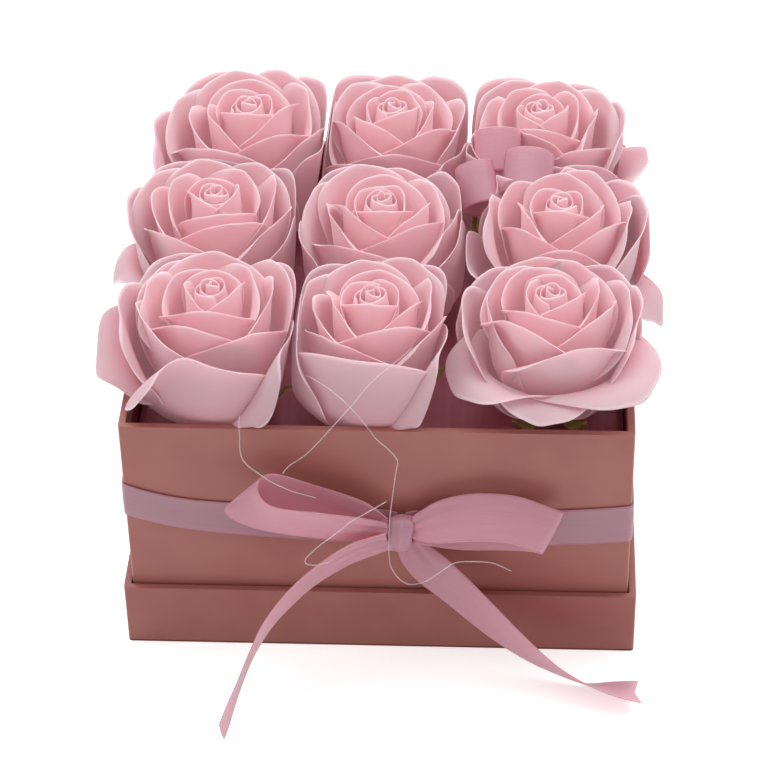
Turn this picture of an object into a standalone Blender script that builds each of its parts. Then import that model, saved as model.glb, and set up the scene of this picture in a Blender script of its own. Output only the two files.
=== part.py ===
"""Square flower box: nine soap roses on picks in a foam insert, in a rigid paper-covered box that
stands in its own lid, tied round with a satin ribbon and its bow.

Metres, +Z up. The origin is the centre of the lid's underside, and the bow is on the -Y side.
"""

from math import cos, pi, sin

import bmesh
import bpy
from mathutils import Vector

MM = 0.001
GAP = 0.3 * MM  # between pieces that touch

# Box and lid: greyboard covered in paper outside and lined inside
BOX_RIM_Z = 94.4 * MM
LID_HEIGHT = 25 * MM
BOARD = 1.2 * MM
PAPER = 0.3 * MM
LID_PLAY = 0.4 * MM  # between the box and the lid's turned-in paper
BOX_CORNER = 1.2 * MM
SMALLEST_CORNER = 0.3 * MM
TURN_IN = 9 * MM  # paper folded over a rim and glued inside
LINING_JOINT = 0.5 * MM

# Insert: foam block under a satin-faced card
INSERT_DROP = 18 * MM  # card's face below the rim
INSERT_PLAY = 0.6 * MM
CARD = 0.5 * MM
PICK_PLAY = 0.4 * MM
HOLE_SIDES = 12

# Roses: column, row and how far each stands off its place in the grid, in mm
ROSES = {
    "back_left": (-1, 1, 3, -2),
    "back_centre": (0, 1, 0, 2),
    "back_right": (1, 1, -2, 2),
    "middle_left": (-1, 0, -4, 1),
    "middle_centre": (0, 0, -1, -1),
    "middle_right": (1, 0, 5, 0),
    "front_left": (-1, -1, 0, 1),
    "front_centre": (0, -1, -2, 0),
    "front_right": (1, -1, 2, 2),
}
HEAD_RADIUS = 24.5 * MM
HEAD_SPACE = 6 * MM  # between heads that stand on the grid
EDGE_SPACE = 0.1 * MM  # between the grid's outer cells and the wall
HEAD_HEIGHT = 51 * MM
HEAD_SIDES = 20
# Bloom's outline from its underside up: share of radius, share of height
HEAD_OUTLINE = (
    (0.25, 0.0),
    (0.47, 0.067),
    (0.67, 0.165),
    (0.82, 0.263),
    (0.95, 0.42),
    (1.0, 0.576),
    (0.965, 0.733),
    (0.81, 0.87),
    (0.55, 0.969),
    (0.3, 1.0),
)
HEAD_DISH = 2 * MM  # how far the bud's middle sits below its top edge
CALYX_RADIUS = 6.5 * MM
CALYX_HEIGHT = 4 * MM
SEPAL_REACH = 15 * MM
SEPAL_THICKNESS = 0.7 * MM
SEPALS = 5
PICK_RADIUS = 2 * MM
PICK_DEPTH = 42 * MM
PICK_POINT = 6 * MM
HOLE_SPARE = 3 * MM

# Satin ribbon
RIBBON_WIDTH = 16 * MM
RIBBON_THICKNESS = 0.4 * MM
BAND_Z = 55.5 * MM
KNOT_X = 8 * MM
KNOT_WIDTH = 7 * MM
KNOT_DEPTH = 8.4 * MM
KNOT_HEIGHT = 14 * MM
KNOT_BEVEL = 2 * MM

# Small three-loop bow on its own pick, in the gap between four of the roses
ROSETTE_GAP = ("middle_centre", "middle_right", "back_centre", "back_right")
ROSETTE_NUDGE_X = 2 * MM
ROSETTE_RISE = 35.6 * MM
ROSETTE_REACH = 11 * MM
ROSETTE_LOOP_HALF = 4 * MM
ROSETTE_ROOT = 2 * MM
ROSETTE_PICK_RADIUS = 1 * MM
ROSETTE_PICK_DEPTH = 30 * MM
ROSETTE_PICK_SIDES = 10

# Clear threads
THREAD_DIAMETER = 0.4 * MM

# Heights and half sizes that follow
WALL = 2 * PAPER + BOARD + 2 * GAP  # paper, board and turned-in paper
ROSE_PITCH = 2 * HEAD_RADIUS + HEAD_SPACE
BOX_HALF = 1.5 * ROSE_PITCH + EDGE_SPACE + WALL
LID_HALF = BOX_HALF + LID_PLAY + WALL
LID_FLOOR_Z = PAPER + GAP
LID_LINING_Z = LID_FLOOR_Z + BOARD + GAP
BOX_BOTTOM_Z = LID_LINING_Z + PAPER + GAP
BOX_FLOOR_Z = BOX_BOTTOM_Z + PAPER + GAP
BOX_LINING_Z = BOX_FLOOR_Z + BOARD + GAP
FOAM_BOTTOM_Z = BOX_LINING_Z + PAPER + GAP
INSERT_Z = BOX_RIM_Z - INSERT_DROP
FOAM_TOP_Z = INSERT_Z - CARD - GAP
INSERT_HALF = BOX_HALF - WALL - INSERT_PLAY
CALYX_Z = INSERT_Z + GAP
HEAD_Z = CALYX_Z + CALYX_HEIGHT + GAP
ROSETTE_Z = INSERT_Z + ROSETTE_RISE

# Bow's ribbons: the ribbon's middle in mm, as (x, distance in front of the box, height), then half
# its width towards its upper edge, as shares. A loop's height counts from the band's middle, and a
# tail's is a share of the band's height above the floor.
LOOP_LEFT = (
    ((4.0, 6.2, 3.0), (0.0, -0.1, 0.57)),
    ((-4.0, 7.0, 8.0), (0.0, -0.04, 0.9)),
    ((-22.0, 8.0, 14.3), (0.12, 0.06, 0.99)),
    ((-36.0, 10.3, 20.8), (0.44, 0.12, 0.89)),
    ((-43.5, 13.2, 22.5), (0.8, 0.25, 0.62)),
    ((-41.5, 16.6, 19.3), (0.5, -0.06, 0.86)),
    ((-33.0, 18.0, 15.3), (0.06, -0.28, 0.96)),
    ((-17.0, 17.0, 12.0), (0.0, -0.25, 0.94)),
    ((-6.0, 13.3, 7.5), (0.0, -0.15, 0.79)),
    ((4.0, 8.5, 2.5), (0.0, -0.07, 0.55)),
)
LOOP_RIGHT = (
    ((12.0, 7.6, 3.5), (0.0, 0.12, 0.57)),
    ((20.0, 9.5, 8.0), (0.04, 0.45, 0.79)),
    ((32.0, 11.0, 11.8), (0.0, 0.62, 0.78)),
    ((45.0, 11.6, 11.8), (0.12, 0.62, 0.78)),
    ((54.5, 12.0, 8.1), (0.3, 0.55, 0.78)),
    ((59.0, 10.2, 4.7), (0.44, 0.45, 0.78)),
    ((55.5, 7.6, 3.1), (0.38, 0.33, 0.86)),
    ((44.0, 6.2, 2.5), (0.12, 0.25, 0.95)),
    ((28.0, 5.6, 1.5), (0.0, 0.2, 0.95)),
    ((12.0, 5.0, 0.7), (0.0, 0.1, 0.65)),
)
TAIL_LEFT = (
    ((3.9, 11.2, 1.02), (-0.07, -0.25, 0.7)),
    ((-6.9, 14.5, 0.977), (-0.15, -0.46, 0.88)),
    ((-14.9, 17.0, 0.901), (-0.19, -0.53, 0.82)),
    ((-22.5, 20.2, 0.816), (-0.2, -0.6, 0.78)),
    ((-29.2, 24.0, 0.719), (-0.2, -0.65, 0.74)),
    ((-35.8, 28.5, 0.593), (-0.14, -0.7, 0.7)),
    ((-40.8, 33.5, 0.45), (-0.06, -0.74, 0.68)),
    ((-44.5, 39.5, 0.324), (-0.05, -0.75, 0.66)),
    ((-47.7, 46.0, 0.216), (-0.11, -0.75, 0.65)),
    ((-50.0, 52.2, 0.133), (-0.15, -0.74, 0.65)),
    ((-51.2, 56.4, 0.108), (-0.15, -0.74, 0.65)),
)
TAIL_RIGHT = (
    ((13.0, 6.6, 0.8), (0.8, 0.0, 0.3)),
    ((18.6, 8.5, 0.739), (0.65, -0.11, 0.75)),
    ((26.3, 11.7, 0.641), (0.57, -0.2, 0.8)),
    ((34.9, 15.0, 0.512), (0.49, -0.28, 0.82)),
    ((43.3, 18.2, 0.389), (0.42, -0.39, 0.81)),
    ((52.6, 21.2, 0.27), (0.26, -0.51, 0.81)),
    ((61.5, 23.8, 0.18), (0.15, -0.65, 0.75)),
    ((71.1, 26.2, 0.119), (0.06, -0.74, 0.68)),
    ((79.9, 26.8, 0.094), (0.01, -0.89, 0.45)),
    ((89.6, 26.4, 0.065), (0.05, -0.96, 0.26)),
)

# Routes of the clear threads, in mm
THREAD_LONG = (
    (-24.2, -74.5, 109.6),
    (-20.4, -79.8, 112.0),
    (-15.3, -84.6, 112.2),
    (-10.2, -87.6, 109.4),
    (-7.0, -88.6, 106.3),
    (-3.5, -89.6, 101.9),
    (0.7, -90.6, 95.7),
    (5.0, -92.2, 92.3),
    (7.6, -93.8, 89.2),
    (7.1, -95.6, 86.0),
    (6.2, -98.2, 79.8),
    (5.2, -101.0, 71.7),
    (4.8, -102.5, 64.3),
    (4.7, -102.5, 55.4),
    (5.5, -102.0, 49.1),
    (8.5, -101.8, 43.8),
    (12.1, -102.2, 42.5),
    (16.9, -103.0, 44.9),
    (21.6, -103.6, 49.6),
    (26.5, -103.8, 54.0),
    (32.2, -103.4, 54.4),
    (38.8, -102.0, 52.7),
    (45.1, -101.0, 48.4),
)
THREAD_CROSS = (
    (12.4, -86.0, 129.8),
    (6.7, -87.6, 125.0),
    (2.4, -88.6, 121.3),
    (-2.4, -89.2, 115.9),
    (-5.7, -89.6, 110.9),
    (-10.1, -89.7, 104.8),
    (-15.8, -90.2, 97.2),
    (-19.9, -90.8, 92.1),
    (-23.6, -91.6, 88.4),
    (-27.8, -93.2, 86.1),
    (-30.2, -95.2, 84.2),
)
THREAD_SIDE = (
    (-43.9, -88.6, 103.3),
    (-44.2, -89.4, 99.4),
    (-44.1, -90.0, 95.5),
    (-44.2, -90.8, 90.3),
    (-43.3, -92.2, 87.3),
    (-40.9, -94.0, 85.6),
    (-37.5, -96.2, 84.6),
    (-33.8, -98.0, 83.0),
    (-29.9, -98.4, 81.0),
    (-26.0, -98.2, 78.8),
    (-19.4, -97.0, 75.6),
)
THREAD_LOW = (
    (4.0, -101.6, 78.4),
    (-0.2, -104.6, 77.6),
    (-3.9, -106.6, 76.4),
    (-7.1, -108.0, 75.2),
    (-11.8, -109.0, 71.0),
    (-17.8, -109.0, 65.1),
    (-21.7, -108.4, 60.0),
    (-22.8, -108.2, 57.4),
    (-21.6, -108.2, 56.0),
    (-18.2, -108.6, 56.4),
    (-14.8, -109.2, 58.2),
)


def material(name, colour, roughness):
    """A plain dielectric finish; colour is linear RGB."""
    made = bpy.data.materials.get(name)
    if made is None:
        made = bpy.data.materials.new(name)
        made.use_nodes = True
        shader = made.node_tree.nodes["Principled BSDF"]
        shader.inputs["Base Color"].default_value = (*colour, 1)
        shader.inputs["Roughness"].default_value = roughness
    return made


def wrap_paper():
    return material("wrap_paper", (0.36, 0.15, 0.14), 0.45)


def greyboard():
    return material("greyboard", (0.33, 0.3, 0.26), 0.9)


def satin():
    return material("satin", (0.5, 0.22, 0.27), 0.4)


def petal():
    return material("soap_petal", (0.75, 0.4, 0.42), 0.55)


def greenery():
    return material("moulded_green", (0.2, 0.25, 0.07), 0.5)


def foam():
    return material("foam", (0.75, 0.72, 0.68), 0.9)


def add_object(name, bm, surface):
    mesh = bpy.data.meshes.new(name)
    bm.to_mesh(mesh)
    bm.free()
    made = bpy.data.objects.new(name, mesh)
    made.data.materials.append(surface)
    bpy.context.scene.collection.objects.link(made)
    return made


def join_rings(rings, closed_loop):
    """One closed skin through rings of points, capped at both ends unless it closes on itself."""
    bm = bmesh.new()
    loops = [[bm.verts.new(point) for point in ring] for ring in rings]
    pairs = list(zip(loops, loops[1:], strict=False))
    if closed_loop:
        pairs.append((loops[-1], loops[0]))
    for lower, upper in pairs:
        for i in range(len(lower)):
            j = (i + 1) % len(lower)
            bm.faces.new((lower[i], lower[j], upper[j], upper[i]))
    if not closed_loop:
        bm.faces.new(reversed(loops[0]))
        bm.faces.new(loops[-1])
    bmesh.ops.recalc_face_normals(bm, faces=bm.faces)
    return bm


def square_ring(half, z, corner):
    """A square with rounded corners, seen from above."""
    points = []
    inner = half - corner
    for quarter in range(4):
        for step in (0, 0.5, 1):
            angle = (quarter + step) * pi / 2
            sign_x = (1, -1, -1, 1)[quarter]
            sign_y = (1, 1, -1, -1)[quarter]
            points.append((sign_x * inner + corner * cos(angle), sign_y * inner + corner * sin(angle), z))
    return points


def square_shell(name, outline, widest, surface, closed_loop):
    """Sweeps an outline of (half size, z) round a square, keeping its corners concentric."""
    rings = [
        square_ring(half, z, max(SMALLEST_CORNER, BOX_CORNER - (widest - half)))
        for half, z in outline
    ]
    return add_object(name, join_rings(rings, closed_loop), surface)


def tray(name, half, bottom_z, floor, wall, top_z, surface):
    """An open box: bottom plate and four walls in one piece."""
    outline = (
        (half, bottom_z),
        (half, top_z),
        (half - wall, top_z),
        (half - wall, bottom_z + floor),
    )
    return square_shell(name, outline, half, surface, False)


def rim_wrap(outer, bottom_z, rim_z):
    """Outline of paper that runs up a wall, over its rim and down inside it."""
    inside = outer - WALL
    under_rim = rim_z - PAPER
    turned_z = rim_z - TURN_IN
    return (
        (outer, bottom_z),
        (outer, rim_z),
        (inside, rim_z),
        (inside, turned_z),
        (inside + PAPER, turned_z),
        (inside + PAPER, under_rim),
        (outer - PAPER, under_rim),
        (outer - PAPER, bottom_z),
    )


def build_lid():
    board_half = LID_HALF - PAPER - GAP
    board_top = LID_HEIGHT - PAPER - GAP
    tray("lid_board", board_half, LID_FLOOR_Z, BOARD, BOARD, board_top, greyboard())
    square_shell("lid_wrap", rim_wrap(LID_HALF, PAPER + GAP, LID_HEIGHT), LID_HALF, wrap_paper(), True)
    sheet = ((LID_HALF, 0), (LID_HALF, PAPER))
    square_shell("lid_face_sheet", sheet, LID_HALF, wrap_paper(), False)
    lining_half = board_half - BOARD - GAP
    lining_top = LID_HEIGHT - TURN_IN - LINING_JOINT
    tray("lid_lining", lining_half, LID_LINING_Z, PAPER, PAPER, lining_top, wrap_paper())


def build_box():
    board_half = BOX_HALF - PAPER - GAP
    board_top = BOX_RIM_Z - PAPER - GAP
    tray("box_board", board_half, BOX_FLOOR_Z, BOARD, BOARD, board_top, greyboard())
    wall = rim_wrap(BOX_HALF, BOX_BOTTOM_Z, BOX_RIM_Z)
    # The box's paper also covers its underside, so the sweep ends in two caps
    outline = (*wall[:7], (BOX_HALF - PAPER, BOX_BOTTOM_Z + PAPER))
    square_shell("box_wrap", outline, BOX_HALF, wrap_paper(), False)
    lining_half = board_half - BOARD - GAP
    lining_top = BOX_RIM_Z - TURN_IN - LINING_JOINT
    tray("box_lining", lining_half, BOX_LINING_Z, PAPER, PAPER, lining_top, wrap_paper())


def turned(outline, sides, place):
    """Turns (radius, z) points about the upright axis at a place in plan."""
    return [
        [
            (place[0] + radius * cos(2 * pi * i / sides), place[1] + radius * sin(2 * pi * i / sides), z)
            for i in range(sides)
        ]
        for radius, z in outline
    ]


def rose_places():
    """Where each pick stands in plan."""
    return {
        where: (column * ROSE_PITCH + x * MM, row * ROSE_PITCH + y * MM)
        for where, (column, row, x, y) in ROSES.items()
    }


def rosette_place():
    corners = [rose_places()[where] for where in ROSETTE_GAP]
    x = sum(corner[0] for corner in corners) / len(corners)
    y = sum(corner[1] for corner in corners) / len(corners)
    return (x + ROSETTE_NUDGE_X, y)


def pick_holes(name, bottom_z, top_z):
    """Cutter with a round prism for every pick."""
    bm = bmesh.new()
    holes = [(place, PICK_RADIUS) for place in rose_places().values()]
    holes.append((rosette_place(), ROSETTE_PICK_RADIUS))
    for place, radius in holes:
        outline = ((radius + PICK_PLAY, bottom_z), (radius + PICK_PLAY, top_z))
        prism = join_rings(turned(outline, HOLE_SIDES, place), False)
        mesh = bpy.data.meshes.new(name)
        prism.to_mesh(mesh)
        prism.free()
        bm.from_mesh(mesh)
        bpy.data.meshes.remove(mesh)
    cutter = add_object(name, bm, foam())
    cutter.hide_render = True
    cutter.display_type = "WIRE"
    return cutter


def drill(piece, cutter):
    cut = piece.modifiers.new("pick_holes", "BOOLEAN")
    cut.operation = "DIFFERENCE"
    cut.object = cutter


def build_insert():
    block = ((INSERT_HALF, FOAM_BOTTOM_Z), (INSERT_HALF, FOAM_TOP_Z))
    foam_block = square_shell("insert_foam", block, INSERT_HALF, foam(), False)
    card = ((INSERT_HALF, FOAM_TOP_Z + GAP), (INSERT_HALF, INSERT_Z))
    cover = square_shell("insert_cover", card, INSERT_HALF, satin(), False)
    hole_bottom = INSERT_Z - PICK_DEPTH - HOLE_SPARE
    drill(foam_block, pick_holes("foam_hole_cutter", hole_bottom, INSERT_Z + HOLE_SPARE))
    drill(cover, pick_holes("cover_hole_cutter", FOAM_TOP_Z - HOLE_SPARE, INSERT_Z + HOLE_SPARE))


def star_ring(place, tip, valley, z):
    """A ring whose radius swings between sepal tips and the notches between them."""
    steps = 4
    points = []
    for i in range(SEPALS * steps):
        share = (1 + cos(2 * pi * i / steps)) / 2
        radius = valley + (tip - valley) * share
        angle = 2 * pi * i / (SEPALS * steps)
        points.append((place[0] + radius * cos(angle), place[1] + radius * sin(angle), z))
    return points


def build_rose(where, place):
    head_outline = [(HEAD_RADIUS * r, HEAD_Z + HEAD_HEIGHT * h) for r, h in HEAD_OUTLINE]
    head_outline.append((HEAD_RADIUS * 0.1, HEAD_Z + HEAD_HEIGHT - HEAD_DISH))
    head = join_rings(turned(head_outline, HEAD_SIDES, place), False)
    rose = add_object(f"rose_head_{where}", head, petal())
    rose.data.shade_smooth()

    steps = SEPALS * 4
    under = CALYX_Z + 0.45 * CALYX_HEIGHT
    rings = turned(((0.5 * CALYX_RADIUS, CALYX_Z), (0.85 * CALYX_RADIUS, under)), steps, place)
    rings.append(star_ring(place, SEPAL_REACH, CALYX_RADIUS, under + SEPAL_THICKNESS / 2))
    rings.append(star_ring(place, SEPAL_REACH, CALYX_RADIUS, under + 1.5 * SEPAL_THICKNESS))
    rings += turned(((0.6 * CALYX_RADIUS, CALYX_Z + CALYX_HEIGHT),), steps, place)
    add_object(f"calyx_{where}", join_rings(rings, False), greenery())

    point_z = INSERT_Z - PICK_DEPTH
    pick_outline = ((0.2 * PICK_RADIUS, point_z), (PICK_RADIUS, point_z + PICK_POINT), (PICK_RADIUS, INSERT_Z))
    pick = join_rings(turned(pick_outline, HOLE_SIDES, place), False)
    add_object(f"pick_{where}", pick, greenery())


def smooth_through(points, steps):
    """Points on a Catmull-Rom curve through the given ones."""
    points = [Vector(point) for point in points]
    ends = [2 * points[0] - points[1], *points, 2 * points[-1] - points[-2]]
    out = []
    for a, b, c, d in zip(ends, ends[1:], ends[2:], ends[3:], strict=False):
        for step in range(steps):
            t = step / steps
            out.append(
                0.5 * (2 * b + (c - a) * t + (2 * a - 5 * b + 4 * c - d) * t**2 + (3 * b - a - 3 * c + d) * t**3)
            )
    return [*out, points[-1]]


def ribbon(name, stations, steps):
    """A strip of ribbon whose middle and half width run smoothly through the stations.

    It lies on the floor where it would hang lower.
    """
    middles = smooth_through([station[0] for station in stations], steps)
    halves = smooth_through([station[1] for station in stations], steps)
    rings = []
    for i, (middle, half) in enumerate(zip(middles, halves, strict=True)):
        along = middles[min(i + 1, len(middles) - 1)] - middles[max(i - 1, 0)]
        out = along.cross(half).normalized() * RIBBON_THICKNESS / 2
        half = half.normalized() * min(half.length, 1) * RIBBON_WIDTH / 2
        lowest = abs(half.z) + abs(out.z) + GAP
        centre = Vector((middle.x, middle.y, max(middle.z, lowest)))
        rings.append([centre + half + out, centre - half + out, centre - half - out, centre + half - out])
    bm = join_rings(rings, False)
    bm.verts.ensure_lookup_table()
    # Both faces of the strip are split along the same diagonals, so a twist keeps its thickness.
    corners = len(rings[0])
    for i in range(len(rings) - 1):
        lower = [bm.verts[i * corners + j] for j in range(corners)]
        upper = [bm.verts[(i + 1) * corners + j] for j in range(corners)]
        for start, end in ((lower[0], upper[1]), (lower[3], upper[2])):
            face = next(face for face in start.link_faces if end in face.verts)
            bmesh.utils.face_split(face, start, end)
    return add_object(name, bm, satin())


def bow_stations(points, height_unit, height_start):
    """Turns a bow ribbon's points into places in front of the box."""
    return [
        (Vector((x * MM, -BOX_HALF - ahead * MM, height_start + height * height_unit)), Vector(half))
        for (x, ahead, height), half in points
    ]


def build_ribbon():
    inside = BOX_HALF + GAP
    low, high = BAND_Z - RIBBON_WIDTH / 2, BAND_Z + RIBBON_WIDTH / 2
    outer = inside + RIBBON_THICKNESS
    square_shell("ribbon_band", ((outer, low), (outer, high), (inside, high), (inside, low)), outer, satin(), True)
    bm = bmesh.new()
    bmesh.ops.create_cube(bm, size=1)
    knot_y = -(outer + GAP + KNOT_DEPTH / 2)
    for vert in bm.verts:
        x, y, z = vert.co
        vert.co = (KNOT_X + x * KNOT_WIDTH, knot_y + y * KNOT_DEPTH, BAND_Z + z * KNOT_HEIGHT)
    knot = add_object("bow_knot", bm, satin())
    bevel = knot.modifiers.new("soft_edges", "BEVEL")
    bevel.width = KNOT_BEVEL
    bevel.segments = 2
    ribbon("bow_loop_left", bow_stations(LOOP_LEFT, MM, BAND_Z), 3)
    ribbon("bow_loop_right", bow_stations(LOOP_RIGHT, MM, BAND_Z), 3)
    ribbon("bow_tail_left", bow_stations(TAIL_LEFT, BAND_Z, 0), 2)
    ribbon("bow_tail_right", bow_stations(TAIL_RIGHT, BAND_Z, 0), 2)


def build_rosette():
    place = Vector((*rosette_place(), 0))
    for name, angle in (("left", pi), ("right", 0.0), ("back", pi / 2)):
        out = Vector((cos(angle), sin(angle), 0))
        side = Vector((-sin(angle), cos(angle), 0))
        middle_reach = (ROSETTE_ROOT + ROSETTE_REACH) / 2
        plan = (
            (ROSETTE_ROOT, 0.15),
            (middle_reach, 0.9),
            (0.9 * ROSETTE_REACH, 0.7),
            (ROSETTE_REACH, 0.0),
            (0.9 * ROSETTE_REACH, -0.7),
            (middle_reach, -0.9),
            (ROSETTE_ROOT, -0.15),
        )
        stations = []
        for reach, spread in plan:
            middle = place + out * reach + side * spread * ROSETTE_LOOP_HALF + Vector((0, 0, ROSETTE_Z))
            stations.append((middle, Vector((0, 0, 1))))
        ribbon(f"rosette_loop_{name}", stations, 2)
    point_z = INSERT_Z - ROSETTE_PICK_DEPTH
    top_z = ROSETTE_Z + RIBBON_WIDTH / 4
    outline = (
        (0.2 * ROSETTE_PICK_RADIUS, point_z),
        (ROSETTE_PICK_RADIUS, point_z + PICK_POINT),
        (ROSETTE_PICK_RADIUS, top_z),
    )
    add_object("rosette_pick", join_rings(turned(outline, ROSETTE_PICK_SIDES, place), False), greenery())


def thread(name, route):
    """A round clear thread along its route, with flat ends."""
    curve = bpy.data.curves.new(name, "CURVE")
    curve.dimensions = "3D"
    curve.bevel_depth = THREAD_DIAMETER / 2
    curve.bevel_resolution = 2
    curve.use_fill_caps = True
    spline = curve.splines.new("POLY")
    spline.points.add(len(route) - 1)
    for point, place in zip(spline.points, route, strict=True):
        point.co = (*(value * MM for value in place), 1)
    made = bpy.data.objects.new(name, curve)
    made.data.materials.append(material("clear_thread", (0.9, 0.85, 0.88), 0.1))
    bpy.context.scene.collection.objects.link(made)


def build_threads():
    thread("thread_long", THREAD_LONG)
    thread("thread_cross", THREAD_CROSS)
    thread("thread_side", THREAD_SIDE)
    thread("thread_low", THREAD_LOW)


def main():
    for old in list(bpy.data.objects):
        bpy.data.objects.remove(old)
    build_lid()
    build_box()
    build_insert()
    for where, place in rose_places().items():
        build_rose(where, place)
    build_ribbon()
    build_rosette()
    build_threads()


main()
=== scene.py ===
import math
import random

import bpy
from mathutils import Matrix, Vector, noise


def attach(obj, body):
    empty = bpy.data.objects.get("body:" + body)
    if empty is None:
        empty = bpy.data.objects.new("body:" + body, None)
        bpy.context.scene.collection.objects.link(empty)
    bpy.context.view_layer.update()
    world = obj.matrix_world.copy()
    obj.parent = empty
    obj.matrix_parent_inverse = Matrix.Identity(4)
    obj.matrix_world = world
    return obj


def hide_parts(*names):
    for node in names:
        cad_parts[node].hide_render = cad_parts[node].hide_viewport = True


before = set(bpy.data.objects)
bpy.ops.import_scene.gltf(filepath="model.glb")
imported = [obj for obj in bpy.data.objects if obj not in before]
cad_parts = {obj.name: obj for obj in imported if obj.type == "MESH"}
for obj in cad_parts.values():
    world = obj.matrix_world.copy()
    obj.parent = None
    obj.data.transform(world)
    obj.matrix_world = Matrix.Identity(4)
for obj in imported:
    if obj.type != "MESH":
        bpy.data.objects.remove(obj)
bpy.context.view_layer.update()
bpy.ops.object.select_all(action="DESELECT")
mm = 0.001


# shared helpers
def linear(hexColour):
    # sRGB hex to the linear colour that a socket takes
    shares = [int(hexColour[i : i + 2], 16) / 255 for i in (1, 3, 5)]
    return (*[c / 12.92 if c <= 0.04045 else ((c + 0.055) / 1.055) ** 2.4 for c in shares], 1)


def addNode(tree, kind, settings=None, inputs=None):
    # one node with its settings; an input is a value or a socket to link from
    node = tree.nodes.new(kind)
    for name, value in (settings or {}).items():
        setattr(node, name, value)
    for name, value in (inputs or {}).items():
        if isinstance(value, bpy.types.NodeSocket):
            tree.links.new(value, node.inputs[name])
        else:
            node.inputs[name].default_value = value
    return node


def newMaterial(name, **sockets):
    material = bpy.data.materials.new(name)
    material.use_nodes = True
    tree = material.node_tree
    shader = tree.nodes["Principled BSDF"]
    for socket, value in sockets.items():
        shader.inputs[socket.replace("_", " ")].default_value = value
    return material, tree, shader


def dress(piece, *materials):
    piece.data.materials.clear()
    for material in materials:
        piece.data.materials.append(material)


def twoTones(tree, factor, low, high, first, second):
    # one tone below low, the other above high; gives the colour's socket
    ramp = addNode(tree, "ShaderNodeValToRGB", None, {"Fac": factor})
    for element, at, tone in zip(ramp.color_ramp.elements, (low, high), (first, second)):
        element.position = at
        element.color = linear(tone)
    return ramp.outputs["Color"]


def addBump(tree, shader, height, strength, depth):
    # depth is in mm
    bump = addNode(tree, "ShaderNodeBump", None, {"Height": height, "Strength": strength, "Distance": depth * mm})
    tree.links.new(bump.outputs["Normal"], shader.inputs["Normal"])


def addMath(tree, operation, *values):
    return addNode(tree, "ShaderNodeMath", {"operation": operation}, dict(enumerate(values))).outputs[0]


def addNoise(tree, place, scale, detail):
    sockets = {"Vector": place, "Scale": scale, "Detail": detail}
    return addNode(tree, "ShaderNodeTexNoise", None, sockets).outputs["Fac"]


def fromEdge(tree, uv):
    # how far across the sheet, 0 at its middle and 0.5 at its edges; and the place along it
    split = addNode(tree, "ShaderNodeSeparateXYZ", None, {"Vector": uv})
    return addMath(tree, "ABSOLUTE", addMath(tree, "SUBTRACT", split.outputs["X"], 0.5)), split.outputs["Y"]


def smoothStep(low, high, value):
    share = min(1, max(0, (value - low) / (high - low)))
    return share * share * (3 - 2 * share)


def alongList(values, share):
    # straight between evenly spaced values
    place = min(max(share, 0), 1) * (len(values) - 1)
    i = min(int(place), len(values) - 2)
    return values[i] + (values[i + 1] - values[i]) * (place - i)


def smoothThrough(points, steps):
    # the same Catmull-Rom curve that the CAD ribbons follow
    points = [Vector(point) for point in points]
    ends = [2 * points[0] - points[1], *points, 2 * points[-1] - points[-2]]
    out = []
    for a, b, c, d in zip(ends, ends[1:], ends[2:], ends[3:]):
        for step in range(steps):
            t = step / steps
            out.append(
                0.5 * (2 * b + (c - a) * t + (2 * a - 5 * b + 4 * c - d) * t**2 + (3 * b - a - 3 * c + d) * t**3)
            )
    return [*out, points[-1]]


def sheetPiece(name, across, along, place):
    # a grid whose points are laid by place(u, v), u from -1 to 1 and v from 0 to 1
    bpy.ops.mesh.primitive_grid_add(x_subdivisions=across, y_subdivisions=along, size=2)
    piece = bpy.context.object
    piece.name = name
    for vertex in piece.data.vertices:
        vertex.co = place(vertex.co.x, (vertex.co.y + 1) / 2)
    return piece


def applyAll(piece):
    bpy.ops.object.select_all(action="DESELECT")
    piece.select_set(True)
    bpy.context.view_layer.objects.active = piece
    for modifier in list(piece.modifiers):
        bpy.ops.object.modifier_apply(modifier=modifier.name)
    piece.select_set(False)


def thicken(piece, thickness, offset=0.0):
    modifier = piece.modifiers.new("thickness", "SOLIDIFY")
    modifier.thickness = thickness
    modifier.offset = offset


def soften(piece, levels=1):
    modifier = piece.modifiers.new("softening", "SUBSURF")
    modifier.levels = levels
    modifier.render_levels = levels


def shadeSmooth(piece):
    for face in piece.data.polygons:
        face.use_smooth = True


def settle(piece, material, body, node):
    applyAll(piece)
    shadeSmooth(piece)
    dress(piece, material)
    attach(piece, body)
    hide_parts(node)


def joinPieces(name, pieces):
    bpy.ops.object.select_all(action="DESELECT")
    for piece in pieces:
        piece.select_set(True)
    bpy.context.view_layer.objects.active = pieces[0]
    bpy.ops.object.join()
    joined = bpy.context.object
    joined.name = name
    joined.data.name = name
    joined.select_set(False)
    return joined


# camera, light and floor
cameraSetup = {
    "place": (46.837, -797.172, 685.452),  # mm
    "yaw": -3.5066,
    "pitch": 38.6758,  # down
    "roll": -1.2658,
    "lens": 132.649,
    "sensor": 36.0,
}


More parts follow.
